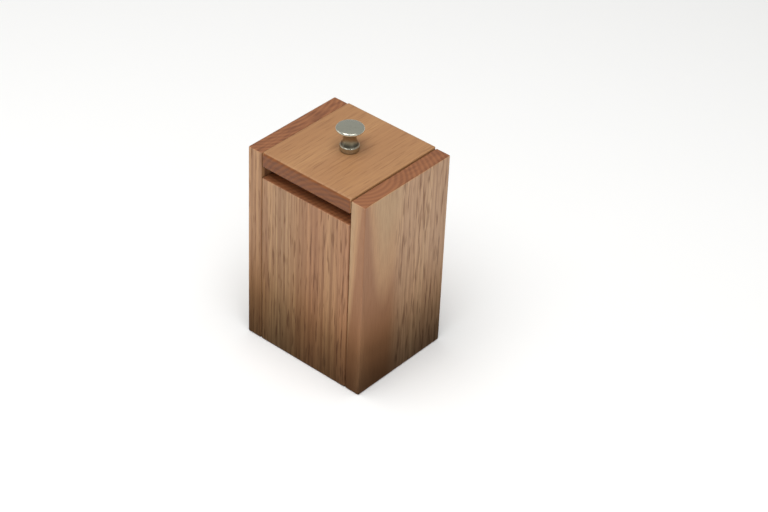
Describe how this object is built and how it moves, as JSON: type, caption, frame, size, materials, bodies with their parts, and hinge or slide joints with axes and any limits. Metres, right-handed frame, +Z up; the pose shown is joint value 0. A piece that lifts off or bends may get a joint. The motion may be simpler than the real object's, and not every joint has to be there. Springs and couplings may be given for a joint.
{
  "type": "spin-lock puzzle box",
  "caption": "Upright oak puzzle box with a lid let in between its side panels, a turned knob and a hidden two-bolt spin lock.",
  "frame": {"origin": "centre of the base, on the surface the box stands on", "axes": "+Z up; front panel, with the gap over it, towards -Y; +X towards the right side panel"},
  "size_m": [0.0676, 0.0558, 0.1145],
  "materials": {
    "side_oak": "open-grained oak, fine sanded, waxed satin",
    "cross_oak": "straight-grained oak, fine sanded, waxed satin",
    "lid_oak": "golden oak with short dark pores, waxed satin",
    "inner_oak": "plain sawn oak, unfinished",
    "nickel": "satin nickel, turned",
    "steel": "machined",
    "brass": "satin"
  },
  "bodies": {
    "box": {"left_panel": "side_oak", "right_panel": "side_oak", "front_panel": "cross_oak", "rear_panel": "cross_oak", "bottom_board": "inner_oak", "left_cleat": "inner_oak", "right_cleat": "inner_oak"},
    "lid": {"lid_board": "lid_oak", "lock_block": "inner_oak", "lock_cover": "inner_oak", "cover_screw_front_left": "brass", "cover_screw_front_right": "brass", "cover_screw_rear_left": "brass", "cover_screw_rear_right": "brass", "spindle_bush": "brass", "bore_plug_front_left": "inner_oak", "bore_plug_front_right": "inner_oak", "bore_plug_rear_left": "inner_oak", "bore_plug_rear_right": "inner_oak"},
    "knob": {"knob": "nickel", "spindle_screw": "steel", "cam_disc": "steel", "clamp_nut": "steel", "thrust_washer": "brass"},
    "left_bolt": {"left_bolt": "brass", "left_drive_peg": "steel"},
    "right_bolt": {"right_bolt": "brass", "right_drive_peg": "steel"},
    "pin_front_left": {"lock_pin_front_left": "steel"},
    "pin_front_right": {"lock_pin_front_right": "steel"},
    "pin_rear_left": {"lock_pin_rear_left": "steel"},
    "pin_rear_right": {"lock_pin_rear_right": "steel"}
  },
  "joints": [
    {"name": "lid_lift", "type": "slide", "parent": "box", "child": "lid", "axis": [0, 0, 1], "range_m": [0, 0.05]},
    {"name": "knob_turn", "type": "hinge", "parent": "lid", "child": "knob", "pos_m": [0, 0, 0.1022], "axis": [0, 0, 1], "range_deg": [0, 90]},
    {"name": "left_bolt_slide", "type": "slide", "parent": "lid", "child": "left_bolt", "axis": [-1, 0, 0], "range_m": [0, 0.004]},
    {"name": "right_bolt_slide", "type": "slide", "parent": "lid", "child": "right_bolt", "axis": [1, 0, 0], "range_m": [0, 0.004]},
    {"name": "pin_front_left_slide", "type": "slide", "parent": "lid", "child": "pin_front_left", "axis": [0, 1, 0], "range_m": [0, 0.0025]},
    {"name": "pin_front_right_slide", "type": "slide", "parent": "lid", "child": "pin_front_right", "axis": [0, 1, 0], "range_m": [0, 0.0025]},
    {"name": "pin_rear_left_slide", "type": "slide", "parent": "lid", "child": "pin_rear_left", "axis": [0, -1, 0], "range_m": [0, 0.0025]},
    {"name": "pin_rear_right_slide", "type": "slide", "parent": "lid", "child": "pin_rear_right", "axis": [0, -1, 0], "range_m": [0, 0.0025]}
  ],
  "couplings": [
    {"joint": "left_bolt_slide", "follows": "knob_turn", "m_per_rad": 0.0025465},
    {"joint": "right_bolt_slide", "follows": "knob_turn", "m_per_rad": 0.0025465}
  ]
}
